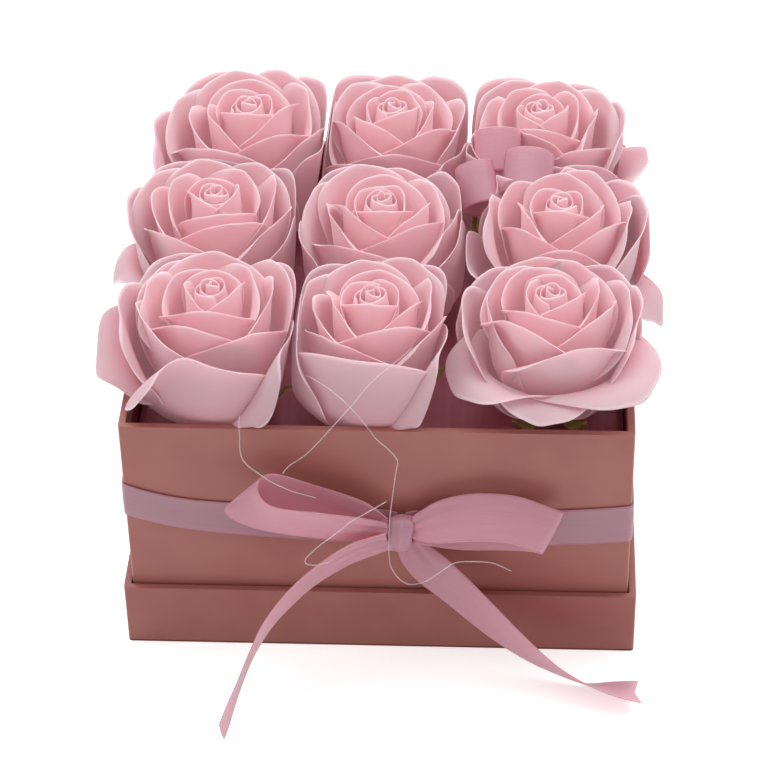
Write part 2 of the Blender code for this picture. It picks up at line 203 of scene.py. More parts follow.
def addCamera():
    yaw, pitch, roll = (math.radians(cameraSetup[k]) for k in ("yaw", "pitch", "roll"))
    forward = Vector((math.sin(yaw) * math.cos(pitch), math.cos(yaw) * math.cos(pitch), -math.sin(pitch)))
    right = Vector((math.cos(yaw), -math.sin(yaw), 0))
    up = right.cross(forward)
    turnedRight = math.cos(roll) * right + math.sin(roll) * up
    turnedUp = math.cos(roll) * up - math.sin(roll) * right
    camera = bpy.data.objects.new("camera", bpy.data.cameras.new("camera"))
    camera.data.sensor_width = cameraSetup["sensor"]
    camera.data.lens = cameraSetup["lens"]
    camera.data.clip_start = 0.05
    camera.data.clip_end = 20
    bpy.context.scene.collection.objects.link(camera)
    axes = Matrix((turnedRight, turnedUp, -forward)).transposed()
    camera.matrix_world = Matrix.Translation(Vector(cameraSetup["place"]) * mm) @ axes.to_4x4()
    bpy.context.scene.camera = camera


studio = {
    "ambient": 0.5,
    "ambientTint": (1, 0.99, 0.985),
    "lamps": (
        # name, place in m, size in m, watts
        ("overheadSoftbox", (0.0, 0.7, 1.5), 3.0, 45.0),
        ("leftSoftbox", (-1.1, -0.1, 0.7), 0.8, 0.9),
        ("rightSoftbox", (1.1, 0.0, 0.7), 0.8, 0.6),
    ),
    "floor": "#FAFAFA",
    "floorGlow": 0.5,  # the sweep is lit from below, which shows in the view more than it lights the box
    "floorSpill": 0.05,
    "floorSize": 6.0,  # m
    "aim": (0, 0, 0.08),  # m, where every lamp points
}


def addStudio():
    scene = bpy.context.scene
    scene.view_settings.view_transform = "Standard"
    scene.view_settings.look = "None"
    world = bpy.data.worlds.new("whiteTent")
    world.use_nodes = True
    tree = world.node_tree
    tree.nodes.clear()
    path = addNode(tree, "ShaderNodeLightPath")
    seen = addNode(tree, "ShaderNodeBackground", None, {"Color": (1, 1, 1, 1), "Strength": 1.0})
    fill = addNode(
        tree, "ShaderNodeBackground", None, {"Color": (*studio["ambientTint"], 1), "Strength": studio["ambient"]}
    )
    shares = {0: path.outputs["Is Camera Ray"], 1: fill.outputs[0], 2: seen.outputs[0]}
    mix = addNode(tree, "ShaderNodeMixShader", None, shares)
    addNode(tree, "ShaderNodeOutputWorld", None, {"Surface": mix.outputs[0]})
    scene.world = world
    for name, place, size, watts in studio["lamps"]:
        lamp = bpy.data.lights.new(name, "AREA")
        lamp.size = size
        lamp.energy = watts
        made = bpy.data.objects.new(name, lamp)
        made.location = place
        made.rotation_mode = "QUATERNION"
        made.rotation_quaternion = (Vector(studio["aim"]) - Vector(place)).to_track_quat("-Z", "Y")
        scene.collection.objects.link(made)
    bpy.ops.mesh.primitive_plane_add(size=studio["floorSize"])
    floor = bpy.context.object
    floor.name = "floor"
    floorMaterial, tree, shader = newMaterial(
        "backlitAcrylicSweep",
        Base_Color=linear(studio["floor"]),
        Roughness=0.7,
        Emission_Color=(1, 1, 1, 1),
    )
    path = addNode(tree, "ShaderNodeLightPath")
    more = studio["floorGlow"] - studio["floorSpill"]
    glow = addMath(tree, "MULTIPLY_ADD", path.outputs["Is Camera Ray"], more, studio["floorSpill"])
    tree.links.new(glow, shader.inputs["Emission Strength"])
    dress(floor, floorMaterial)
    floor.select_set(False)


addCamera()
addStudio()
print("camera, lamps and floor are in place")


# clear threads that run over the front middle rose and down to the bow
threads = {
    "diameter": 0.4,  # mm
    "long": (
        (-24.2, -74.5, 109.6), (-20.4, -79.8, 112.0), (-15.3, -84.6, 112.2), (-10.2, -87.6, 109.4),
        (-7.0, -88.6, 106.3), (-3.5, -89.6, 101.9), (0.7, -90.6, 95.7), (5.0, -92.2, 92.3),
        (7.6, -93.8, 89.2), (7.1, -95.6, 86.0), (6.2, -98.2, 79.8), (5.2, -101.0, 71.7),
        (4.8, -102.5, 64.3), (4.7, -102.5, 55.4), (5.5, -102.0, 49.1), (8.5, -101.8, 43.8),
        (12.1, -102.2, 42.5), (16.9, -103.0, 44.9), (21.6, -103.6, 49.6), (26.5, -103.8, 54.0),
        (32.2, -103.4, 54.4), (38.8, -102.0, 52.7), (45.1, -101.0, 48.4),
    ),
    "cross": (
        (12.4, -86.0, 129.8), (6.7, -87.6, 125.0), (2.4, -88.6, 121.3), (-2.4, -89.2, 115.9),
        (-5.7, -89.6, 110.9), (-10.1, -89.7, 104.8), (-15.8, -90.2, 97.2), (-19.9, -90.8, 92.1),
        (-23.6, -91.6, 88.4), (-27.8, -93.2, 86.1), (-30.2, -95.2, 84.2),
    ),
    "side": (
        (-43.9, -88.6, 103.3), (-44.2, -89.4, 99.4), (-44.1, -90.0, 95.5), (-44.2, -90.8, 90.3),
        (-43.3, -92.2, 87.3), (-40.9, -94.0, 85.6), (-37.5, -96.2, 84.6), (-33.8, -98.0, 83.0),
        (-29.9, -98.4, 81.0), (-26.0, -98.2, 78.8), (-19.4, -97.0, 75.6),
    ),
    "low": (
        (4.0, -101.6, 78.4), (-0.2, -104.6, 77.6), (-3.9, -106.6, 76.4), (-7.1, -108.0, 75.2),
        (-11.8, -109.0, 71.0), (-17.8, -109.0, 65.1), (-21.7, -108.4, 60.0), (-22.8, -108.2, 57.4),
        (-21.6, -108.2, 56.0), (-18.2, -108.6, 56.4), (-14.8, -109.2, 58.2),
    ),
}


def clearThreadMaterial():
    # iridescent polyester film thread, slit and twisted: clear, with its cold white glint and iridescent tints
    # painted into its colour as painted reflections
    material, tree, shader = newMaterial(
        "iridescentPolyesterThread",
        Base_Color=linear("#F1E6EE"),
        Roughness=0.25,
        IOR=1.5,
        Alpha=0.24,
        Specular_IOR_Level=0.6,
    )
    place = addNode(tree, "ShaderNodeTexCoord")
    # painted reflection: the film's colour turns every 6 mm or so along its twist, through white glint and pale blue
    # and pink tints
    paintedGlint = addNoise(tree, place.outputs["Object"], 160.0, 1.0)
    ramp = addNode(tree, "ShaderNodeValToRGB", None, {"Fac": paintedGlint})
    for element, (at, colour) in zip(
        (*ramp.color_ramp.elements, ramp.color_ramp.elements.new(0.5)),
        ((0.35, "#E9F0F6"), (0.68, "#F7D9EC"), (0.5, "#FFFFFF")),
    ):
        element.position = at
        element.color = linear(colour)
    tree.links.new(ramp.outputs["Color"], shader.inputs["Base Color"])
    return material


def addThreads():
    material = clearThreadMaterial()
    for name in ("long", "cross", "side", "low"):
        route = [Vector(point) * mm for point in threads[name]]
        curve = bpy.data.curves.new(f"clear_thread_{name}", "CURVE")
        curve.dimensions = "3D"
        curve.bevel_depth = threads["diameter"] * mm / 2
        curve.bevel_resolution = 2
        curve.use_fill_caps = True
        route = smoothThrough(route, 4)
        spline = curve.splines.new("POLY")
        spline.points.add(len(route) - 1)
        for point, place in zip(spline.points, route):
            point.co = (*place, 1)
        piece = bpy.data.objects.new(f"clear_thread_{name}", curve)
        bpy.context.scene.collection.objects.link(piece)
        dress(piece, material)
        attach(piece, "rose_front_centre")
        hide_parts(f"thread_{name}")
        tuple(route[0])
        sum((b - a).length for a, b in zip(route, route[1:]))


addThreads()
print("threads laid")


# paper, board and insert finishes on the CAD's own pieces
papers = {
    "wrap": ("#A7625A", "#AE6A61"),
    # painted shade: the lid's copy of the wrap paper is painted darker
    "lidWrapPaintedShade": ("#A05A52", "#A7625A"),
    # painted shade: the lining is painted darker and redder than the wrap, for the shade inside the box
    "lining": ("#8E3E48", "#9A4A52"),
    "board": ("#A79B88", "#B9AE9C"),
    "foam": ("#D9D3C8", "#E4DFD6"),
    "fold": 0.4,  # mm, the paper's rounding at a folded edge
    "bundle": 0.9,  # mm between the paper's fibre bundles
}


def paperMaterial(name, colours, roughness, grainMm, bumpMm):
    # coated paper on board: flat and even, with a faint cloudy fibre and a soft pearl sheen
    material, tree, shader = newMaterial(name, Roughness=roughness, IOR=1.5)
    place = addNode(tree, "ShaderNodeTexCoord")
    cloud = addNoise(tree, place.outputs["Object"], 60.0, 4.0)
    tree.links.new(twoTones(tree, cloud, 0.3, 0.7, *colours), shader.inputs["Base Color"])
    addBump(tree, shader, addNoise(tree, place.outputs["Object"], 1000 / grainMm, 3.0), 0.35, bumpMm)
    return material, shader


def dressBoards():
    wraps = {}
    for body, name, colours in (
        ("box", "pearlCoatedPaper", papers["wrap"]),
        # the lid's paper carries painted shade
        ("lid", "pearlCoatedPaperLidShade", papers["lidWrapPaintedShade"]),
    ):
        wraps[body], shader = paperMaterial(name, colours, 0.42, papers["bundle"], 0.05)
        shader.inputs["Sheen Weight"].default_value = 0.15
    # the lining's paper carries painted shade
    lining, _ = paperMaterial("liningPaperPaintedShade", papers["lining"], 0.7, papers["bundle"], 0.04)
    board, _ = paperMaterial("greyboard", papers["board"], 0.9, 1.4, 0.12)
    foam, _ = paperMaterial("phenolicFoam", papers["foam"], 0.95, 0.8, 0.3)
    dress(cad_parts["lid_face_sheet"], wraps["lid"])
    for node, body in (("box_wrap", "box"), ("lid_wrap", "lid")):
        # the same paper with its folds rounded over the board's edges
        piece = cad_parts[node].copy()
        piece.data = piece.data.copy()
        piece.name = f"folded_{node}"
        bpy.context.scene.collection.objects.link(piece)
        bpy.ops.object.select_all(action="DESELECT")
        piece.select_set(True)
        bpy.context.view_layer.objects.active = piece
        bpy.ops.object.mode_set(mode="EDIT")
        bpy.ops.mesh.select_all(action="SELECT")
        bpy.ops.mesh.remove_doubles(threshold=0.00001)
        bpy.ops.mesh.dissolve_limited(angle_limit=math.radians(2))
        bpy.ops.object.mode_set(mode="OBJECT")
        rounding = piece.modifiers.new("rounding", "BEVEL")
        rounding.width = papers["fold"] * mm
        rounding.segments = 3
        rounding.limit_method = "ANGLE"
        rounding.angle_limit = math.radians(40)
        settle(piece, wraps[body], body, node)
    for node in ("box_lining", "lid_lining"):
        dress(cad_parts[node], lining)
    for node in ("box_board", "lid_board"):
        dress(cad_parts[node], board)
    dress(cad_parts["insert_foam"], foam)


dressBoards()


# soap roses
petalFinish = {
    # painted light at the petal's edge
    "edge": "#EECDD3",
    "middle": "#D2B4BB",
    # painted shade towards the petal's root
    "paintedRootShade": "#BE838E",
    # painted light on the inner petals
    "innerPaintedLight": "#EEC5CA",
    # stands for light that has wandered through the stacked sheets, so that the crevices stay pink
    "glow": "#E8BCC3",
    "paintedGlowStrength": 0.09,
    "thickness": 0.4,  # mm
    "grain": 0.5,  # mm between the pressed foam's pores, drawn twice as coarse as they are
}


def petalMaterial():
    # pressed soap foam sheet: soft, matt and slightly see-through; a painted glow, with painted light on the inner
    # petals and at the edges, stands for light glowing deep in the bloom, and painted shade deepens each petal
    # towards its root
    material, tree, shader = newMaterial(
        "pressedSoapPetal",
        Roughness=0.55,
        IOR=1.45,
        Subsurface_Weight=0.5,
        Subsurface_Radius=(0.003, 0.0012, 0.0013),
        # painted glow: the petals emit a little light, standing for light passed on through the stacked sheets
        Emission_Color=linear(petalFinish["glow"]),
        Emission_Strength=petalFinish["paintedGlowStrength"],
        Subsurface_Scale=1.0,
        Specular_IOR_Level=0.3,
        Sheen_Weight=0.05,
        Sheen_Roughness=0.5,
    )
    place = addNode(tree, "ShaderNodeTexCoord")
    away, along = fromEdge(tree, place.outputs["UV"])
    # painted shade: colour deepens towards the petal's root, where the bloom's crevices lie in shade
    rise = twoTones(tree, along, 0.3, 0.96, petalFinish["paintedRootShade"], petalFinish["middle"])
    # painted light: the inner petals take a paler colour by their share, lifting the shade deep in the bloom
    layer = addNode(tree, "ShaderNodeAttribute", {"attribute_name": "paintedLightShare"})
    mixing = {"data_type": "RGBA"}
    sockets = {0: layer.outputs["Fac"], 6: rise, 7: linear(petalFinish["innerPaintedLight"])}
    heart = addNode(tree, "ShaderNodeMix", mixing, sockets)
    # painted light: a pale band about 1 mm wide along the edge, where light shows through the thin sheet
    topEdge, sideEdge = (
        addNode(tree, "ShaderNodeMapRange", {"interpolation_type": "SMOOTHSTEP"}, {0: value, 1: low, 2: high})
        for value, low, high in ((along, 0.955, 0.997), (away, 0.478, 0.4985))
    )
    edge = addMath(tree, "MAXIMUM", topEdge.outputs[0], sideEdge.outputs[0])
    sockets = {0: edge, 6: heart.outputs[2], 7: linear(petalFinish["edge"])}
    paintedEdgeLight = addNode(tree, "ShaderNodeMix", mixing, sockets)
    tree.links.new(paintedEdgeLight.outputs[2], shader.inputs["Base Color"])
    pores = addNoise(tree, place.outputs["Object"], 1000 / petalFinish["grain"], 2.0)
    addBump(tree, shader, pores, 0.12, 0.05)
    return material


# petal layers from the bud outwards, in mm on the rose's own axis; slopes are degrees above the
# horizontal from root to tip, and past 90 leans inwards
layers = {
    "heart": {
        "count": 3, "root": (3.0, 14), "length": 33.5, "width": 27, "slopes": (56, 72, 86, 92, 92), "crown": 0.1,
        "tip": 0.02, "fold": 0.4, "turn": 20, "inner": 1.0, "square": 2.2, "flatness": 1.0,
        "spiral": 1.5, "wave": 0.7,
    },
    "inner": {
        "count": 3, "root": (4.0, 10), "length": 38.5, "width": 36, "slopes": (48, 64, 80, 90, 86), "crown": 0.12,
        "tip": 0.025, "fold": 0.6, "turn": 75, "inner": 0.95, "square": 2.4, "flatness": 1.05,
        "spiral": 1.8, "wave": 0.7,
    },
    "second": {
        "count": 4, "root": (4.5, 7), "length": 42.5, "width": 40, "slopes": (36, 55, 76, 86, 78), "crown": 0.13,
        "tip": 0.03, "fold": 0.7, "turn": 10, "inner": 0.85, "square": 2.6, "flatness": 1.08,
        "spiral": 1.9, "wave": 0.7,
    },
    "third": {
        "count": 4, "root": (5.0, 4), "length": 45.5, "width": 47, "slopes": (26, 45, 73, 85, 72), "crown": 0.15,
        "tip": 0.03, "fold": 0.8, "turn": 52, "inner": 0.7, "square": 3.0, "flatness": 1.1,
        "spiral": 1.9, "wave": 1.3,
    },
    "outer": {
        "count": 5, "root": (6.0, 0), "length": 53, "width": 50, "slopes": (3, 30, 77, 89, 62), "crown": 0.17,
        "tip": 0.02, "fold": 1.0, "turn": 30, "inner": 0.0, "square": 3.4, "flatness": 1.12,
        "spiral": 1.6, "wave": 1.3,
    },
}
roseCentres = {
    "back_left": (-52, 53),
    "back_centre": (0, 57),
    "back_right": (53, 57),
    "middle_left": (-59, 1),
    "middle_centre": (-1, -1),
    "middle_right": (60, 0),
    "front_left": (-55, -54),
    "front_centre": (-2, -55),
    "front_right": (57, -53),
}
headFloor = 81.0  # mm, where the head sits on its calyx
# an outside petal that lies out flat over the rim
spread = {
    "inner": 0.4,
    "slopes": (4, 50, 80, 20, -60),
    "length": 44,
    "root": (6.0, 2),
    "width": 54,
    "crown": 0.2,
    "tip": 0.05,
    "wave": 2.2,
    "rolls": (),
    "over": True,
}
# what sets each bloom apart: turn and roll of single petals, numbered within their layer
roses = {
    "back_left": {"turn": 12, "size": 1.1, "changes": {
        ("outer", 0): {"turn": 183, "slopes": (4, 28, 77, 86, 70), "length": 51, "crown": 0.18, "tip": 0.04},
        ("outer", 1): {"turn": 255},
        ("outer", 2): {"turn": 325, "rolls": ((-1, 0.35, 3.5, 2.4), (1, 0.6, 3, 1.5))},
    }},
    "back_centre": {"turn": 40, "size": 1.04, "changes": {
        ("outer", 0): {"turn": 322, "rolls": ((-1, 0.3, 2.6, 2.8), (1, 0.6, 3, 1.2))},
        ("outer", 1): {"turn": 250},
        ("outer", 2): {"turn": 180, "rolls": ((1, 0.3, 3.0, 2.4),)},
    }},
    "back_right": {"turn": 66, "size": 1.04, "extra": ({"turn": 5},), "changes": {
        ("outer", 0): {
            "turn": 350, "slopes": (4, 28, 72, 50, 20), "length": 47, "width": 46, "crown": 0.14, "tip": 0.07,
            "rise": -3, "over": True,
        },
        ("outer", 1): {"turn": 290, "rolls": ((1, 0.5, 3.0, 2.2),)},
        ("outer", 2): {"turn": 225},
    }},
    "middle_left": {"turn": 95, "size": 1.05, "extra": ({"turn": 180},), "changes": {
        ("outer", 0): {
            "turn": 198, "slopes": (6, 30, 74, 55, -75), "length": 42, "width": 34, "tip": 0.16, "crown": 0.28,
            "over": True,
        },
        ("outer", 1): {"turn": 272, "rolls": ((-1, 0.5, 3, 1.4), (0, 0.86, 2.4, 2.2))},
        ("outer", 2): {"turn": 335},
    }},
    "middle_centre": {"turn": 20, "size": 1.04, "changes": {
        ("outer", 0): {"turn": 205, "rolls": ((1, 0.3, 2.6, 2.6), (-1, 0.6, 3, 1.2))},
        ("outer", 1): {"turn": 275},
        ("outer", 2): {"turn": 340},
    }},
    "middle_right": {"turn": 130, "size": 1.02, "extra": ({"turn": 0},), "changes": {
        ("outer", 0): {
            "turn": 334, "slopes": (6, 34, 62, 0, -66), "length": 39, "width": 32, "tip": 0.18, "crown": 0.3,
            "over": True,
        },
        ("outer", 1): {"turn": 262, "rolls": ((1, 0.45, 2.8, 2.6), (0, 0.88, 2.2, 1.8))},
        ("outer", 2): {"turn": 204, "slopes": (3, 30, 70, 68, 30), "length": 50, "rolls": ()},
    }},
    "front_left": {"turn": 75, "size": 1.06, "extra": ({"turn": 186},), "changes": {
        ("outer", 0): {
            "turn": 188, "slopes": (8, 40, 74, 36, -62), "length": 48, "width": 36, "crown": 0.3, "tip": 0.2,
            "rise": -10, "rolls": (), "over": True,
        },
        ("outer", 1): {
            "turn": 262, "tip": 0.06, "tipGap": 0, "rolls": ((-1, 0.2, 4.5, 2.3), (1, 0.7, 4, 1.0)), "width": 56,
        },
        ("outer", 2): {"turn": 325, "tipGap": 2, "rolls": ((-1, 0.12, 3.2, 2.6), (1, 0.7, 4, 1.0)), "width": 52},
    }},
    "front_centre": {"turn": 8, "size": 1.03, "changes": {
        ("outer", 0): {
            "turn": 262, "width": 58, "length": 54.5, "slopes": (3, 30, 78, 93, 84), "crown": 0.12, "tip": 0.0,
            "rolls": ((-1, 0.75, 5, 0.9), (1, 0.75, 5, 0.9)), "wave": 0.5, "rise": 0,
        },
        ("outer", 1): {"turn": 326, "tipGap": 2, "rolls": ((-1, 0.1, 3.0, 2.8), (1, 0.7, 4, 1.0)), "width": 54},
        ("outer", 2): {"turn": 190},
    }},
    "front_right": {"turn": 50, "size": 1.04, "extra": (
        {"turn": 178, "length": 50},
        {"turn": 3, "length": 50},
    ), "changes": {
        ("outer", 0): {**spread, "turn": 216, "rise": 2},
        ("outer", 1): {**spread, "turn": 320, "width": 60},
        ("outer", 2): {**spread, "turn": 264, "length": 42, "width": 44},
        ("third", 0): {"slopes": (27, 50, 78, 90, 86)},
        ("third", 1): {"slopes": (27, 50, 78, 90, 86)},
    }},
}
extraPetal = {"root": (5.5, 2), "slopes": (10, 34, 76, 88, 66), "length": 51}
restTurns = (45, 115)  # where the outer layer's last two petals stand, at the back
for count, rose in enumerate(roses.values()):
    rose["seed"] = count + 1
    for i, turn in zip((3, 4), restTurns):
        rose["changes"].setdefault(("outer", i), {"turn": turn + 8 * math.sin(count)})


# mm, kept clear of petals: each of the little bow's loops
rosetteRoom = {"low": 98, "rounds": ((31.6, 25.5, 9.2), (48.6, 28.5, 11.2), (38.0, 39.0, 10.0))}


def rollBack(s, q, rolls):
    # beyond each line the sheet turns back on a round of the given radius, then runs on straight
    movedS, movedQ, lift = s, q, 0.0
    for (startS, startQ), (endS, endQ), radius, most in rolls:
        along = Vector((endS - startS, endQ - startQ)).normalized()
        normal = Vector((-along.y, along.x))
        distance = (s - startS) * normal.x + (q - startQ) * normal.y
        if distance <= 0:
            continue
        turn = min(distance / radius, most)
        rest = distance - radius * turn
        reach = radius * math.sin(turn) + rest * math.cos(turn)
        movedS += normal.x * (reach - distance)
        movedQ += normal.y * (reach - distance)
        lift += radius * (1 - math.cos(turn)) + rest * math.sin(turn)
    return movedS, movedQ, lift


rootWidth, widest, tipNarrowing = 0.34, 0.62, 0.2  # shares of a petal's width and length


def petalSheet(petal, where, limits):
    centre = roseCentres[where]
    length, half = petal["length"], petal["width"] / 2
    steps = 40
    spine = []
    radius, height = petal["root"]
    for i in range(steps + 1):
        slope = math.radians(alongList(petal["slopes"], i / steps))
        spine.append((radius, height, slope))
        radius = max(0.6, radius + math.cos(slope) * length / steps)
        height += math.sin(slope) * length / steps
    turn = math.radians(petal["turn"])
    rolls = []
    for side, low, radiusMm, most in petal["rolls"]:
        # from low on one edge up to the tip; left is where s is negative
        if side < 0:
            rolls.append(((-half, low * length), (-petal.get("tipGap", 1), length * 1.03), radiusMm, most))
        elif side > 0:
            rolls.append(((petal.get("tipGap", 1), length * 1.03), (half, low * length), radiusMm, most))
        else:
            rolls.append(((-half, low * length), (half, low * length), radiusMm, most))

    def place(u, v):
        # the outline swells from the root to its widest place, then draws in a little
        share = rootWidth + (1 - rootWidth) * math.sin(min(v / widest, 1) * math.pi / 2) ** 0.9
        if v > widest:
            share *= 1 - tipNarrowing * ((v - widest) / (1 - widest)) ** 2
        s = u * half * share
        point = petal["tip"] * v**5 * max(0, 1 - abs(u) * 3) ** 1.5
        q = length * (v - petal["crown"] * v**3 * abs(u) ** petal["square"] + point)
        wave = noise.noise(Vector((u * 1.6 + petal["seed"] * 7.3, v * 1.2, petal["seed"] * 3.1)))
        ripple = noise.noise(Vector((u * 4.5, v * 3.5, petal["seed"] * 5.7)))
        s, q, lift = rollBack(s, q, rolls)
        edge = smoothStep(0.45, 1, v)
        lift += petal["wave"] * wave * edge + 0.35 * petal["wave"] * ripple * edge * edge
        at = min(max(q / length, 0), 1)
        i = min(int(at * steps), steps - 1)
        part = at * steps - i
        radius, height, slope = (a + (b - a) * part for a, b in zip(spine[i], spine[i + 1]))
        over = q - at * length
        radius += math.cos(slope) * over
        height += math.sin(slope) * over
        bend = max(radius, petal["bend"]) * petal["flatness"]
        angle = s / bend
        slant = petal["spiral"] * s / half * smoothStep(0.15, 0.6, v)
        out = radius - bend + slant
        side = Vector((math.cos(angle), math.sin(angle)))
        x = out + bend * side.x + lift * math.sin(slope) * side.x
        y = bend * side.y + lift * math.sin(slope) * side.y
        z = height - lift * math.cos(slope) + petal["rise"] * s / half * smoothStep(0.4, 1, v)
        x, y = x * math.cos(turn) - y * math.sin(turn), x * math.sin(turn) + y * math.cos(turn)
        x, y = squeeze(x * petal["size"], y * petal["size"], leaning(limits, where, centre, headFloor + z))
        z *= petal["size"]
        point = clearOfRosette(Vector((centre[0] + x, centre[1] + y, headFloor + z)))
        return (overWalls(point) if petal.get("over") else insideWalls(point)) * mm

    return place


# where two blooms of a row meet: x at 100 and at 125 mm up
meetings = {
    ("front_left", "front_centre"): (-31.0, -25.5),
    ("front_centre", "front_right"): (17.5, 25.5),
    ("middle_left", "middle_centre"): (-32.0, -31.0),
    ("middle_centre", "middle_right"): (28.5, 26.0),
    ("back_left", "back_centre"): (-27.0, -22.5),
    ("back_centre", "back_right"): (27.0, 28.5),
}


def leaning(limits, where, centre, height):
    limits = list(limits)
    for (left, right), (low, high) in meetings.items():
        line = low + (high - low) * min(max((height - 100) / 25, -0.4), 1.2)
        if where == left:
            limits[1] = line - cellGap - centre[0]
        elif where == right:
            limits[0] = line + cellGap - centre[0]
    return limits


def squeeze(x, y, limits):
    # petals press softly against the next bloom's
    give = 4.0
    left, right, front, back = limits
    for low, high, axis in ((left, right, 0), (front, back, 1)):
        value = x if axis == 0 else y
        if value > high - give:
            value = high - give * math.exp(-(value - high + give) / give)
        elif value < low + give:
            value = low + give * math.exp((value - low - give) / give)
        if axis == 0:
            x = value
        else:
            y = value
    return x, y


def clearOfRosette(point):
    # blooms round the little bow are pushed aside by it
    for middleX, middleY, full in rosetteRoom["rounds"]:
        x, y = point.x - middleX, point.y - middleY
        far = math.hypot(x, y)
        radius = full * smoothStep(rosetteRoom["low"] - 6, rosetteRoom["low"] + 4, point.z)
        # the push fades out a third of a radius further on
        if far < radius * 1.35 and far > 1e-6:
            pushed = radius + (radius * 0.35) * (far / (radius * 1.35)) ** 2
            if pushed > far:
                point.x += x / far * (pushed - far)
                point.y += y / far * (pushed - far)
    return point


walls = {"inside": 82.0, "top": 95.6, "nearIn": 81.5, "nearOut": 87.0, "over": 0.7}  # mm


def insideWalls(point):
    # below the rim nothing passes through the wall
    free = 14 * smoothStep(walls["top"] - 3, walls["top"] + 2, point.z)
    if point.z < walls["top"] + 2:
        limit = walls["inside"] + free
        point.x, point.y = squeeze(point.x, point.y, (-limit, limit, -limit, limit))
    return point


def overWalls(point):
    # a petal that leans out is lifted over the rim, and may hang outside it
    for value in (abs(point.x), abs(point.y)):
        near = smoothStep(77, walls["nearIn"], value) * (1 - smoothStep(walls["nearOut"], 90.0, value))
        point.z = max(point.z, walls["top"] + walls["over"] - 14 * (1 - near))
        if walls["nearIn"] <= value <= walls["nearOut"]:
            point.z = max(point.z, walls["top"] + walls["over"])
    return point


def budSheet(centre, seed, turn, size):
    # one petal wound round itself into the swirl at the bloom's middle
    turns, first, grow, top, low = 2.6, 0.8, 5.6, 47.5, 14.0

    def place(u, v):
        share = (u + 1) / 2
        angle = math.radians(turn) + share * turns * 2 * math.pi
        radius = (first + grow * share**0.85) * (1 + 0.06 * noise.noise(Vector((angle * 0.6, seed, 0))))
        height = low + (top - 2.2 * share + 0.9 * math.sin(angle * 1.5 + seed) - low) * v
        radius *= 0.75 + 0.4 * math.sin(min(1, v / 0.75) * math.pi / 2) - 0.28 * smoothStep(0.7, 1, v)
        radius *= size
        around = Vector((radius * math.cos(angle), radius * math.sin(angle), headFloor + height * size))
        return (Vector((*centre, 0)) + around) * mm

    return place


def petalsOf(where):
    # each layer's petals with this rose's own changes and chance variation
    rose = roses[where]
    chance = random.Random(rose["seed"])
    petals = []
    for layer, base in layers.items():
        for i in range(base["count"]):
            petal = {
                "size": rose["size"],
                "root": base["root"],
                "length": base["length"] * chance.uniform(0.96, 1.03),
                "width": base["width"] * chance.uniform(0.93, 1.05),
                "slopes": tuple(slope + chance.uniform(-2.5, 2.5) for slope in base["slopes"]),
                "crown": base["crown"] * chance.uniform(0.8, 1.2),
                "tip": base["tip"],
                "turn": rose["turn"] + base["turn"] + 360 / base["count"] * i + chance.uniform(-7, 7),
                "seed": chance.uniform(0, 50),
                "tipGap": chance.uniform(1, 4) if layer != "outer" else chance.uniform(4, 9),
                "bend": 6,
                "rise": chance.uniform(-1.5, 1.5),
                **{key: base[key] for key in ("wave", "square", "flatness", "spiral", "inner")},
            }
            petal["rolls"] = [
                (side, chance.uniform(0.5, 0.72), chance.uniform(2.2, 4.0), base["fold"] * chance.uniform(1.2, 2.4))
                for side in (-1, 1)
            ]
            petal.update(rose["changes"].get((layer, i), {}))
            petals.append(petal)
    for count, change in enumerate(rose.get("extra", ())):
        petals.append({**petals[-1], **extraPetal, "seed": 60.0 + count, **change})
    return petals


cellGap = 0.25  # mm left on each side between two blooms' cells
overhang = 40.0  # mm that an outside petal may reach from its bloom's middle


def cellOf(where):
    # how far this bloom may reach to its left, right, front and back
    x, y = roseCentres[where]
    row = where.split("_")[0]
    reach = [-overhang, overhang, -overhang, overhang]
    for other, (otherX, otherY) in roseCentres.items():
        if other.split("_")[0] == row and other != where and abs(otherX - x) < 80:
            between = (otherX - x) / 2
            reach[1 if between > 0 else 0] = between - math.copysign(cellGap, between)
    rows = ("front", "middle", "back")
    for step, slot in ((-1, 2), (1, 3)):
        beside = rows.index(row) + step
        if 0 <= beside < len(rows):
            # one line per pair of rows, so that blooms out of step don't cross it
            line = (-27.0, 28.0)[min(rows.index(row), beside)]
            reach[slot] = line - y - step * cellGap
    return reach


# how much of the inner petals' painted light a sheet takes
def setPaintedLightShare(piece, value):
    attribute = piece.data.attributes.new("paintedLightShare", "FLOAT", "POINT")
    attribute.data.foreach_set("value", [value] * len(piece.data.vertices))


def addRose(where, material):
    centre, limits = roseCentres[where], cellOf(where)
    rose = roses[where]
    sheets = []
    bud = sheetPiece("bud", 56, 8, budSheet(centre, rose["seed"], rose["turn"], rose["size"]))
    setPaintedLightShare(bud, 1.0)
    sheets.append(bud)
    for petal in petalsOf(where):
        sheet = sheetPiece("petal", 13, 14, petalSheet(petal, where, limits))
        setPaintedLightShare(sheet, petal["inner"])
        sheets.append(sheet)
    bloom = joinPieces(f"rose_bloom_{where}", sheets)
    thicken(bloom, petalFinish["thickness"] * mm)
    soften(bloom)
    settle(bloom, material, f"rose_{where}", f"rose_head_{where}")


petalSoap = petalMaterial()
for where in roseCentres:
    addRose(where, petalSoap)
print("nine blooms made")


# calyx: five cut leaves curl out from under each bloom
calyx = {
    "sepals": 5,
    "length": 29,
    "width": 5.6,
    "root": (3.5, -0.8),
    "slopes": (-10, 5, 38, 66, 20),
    "thickness": 0.5,
    "turns": {"front_left": 215, "front_centre": 235, "front_right": 237, "middle_right": 40, "back_right": 330},
    "greens": ("#84923A", "#B4BC5E"),
}


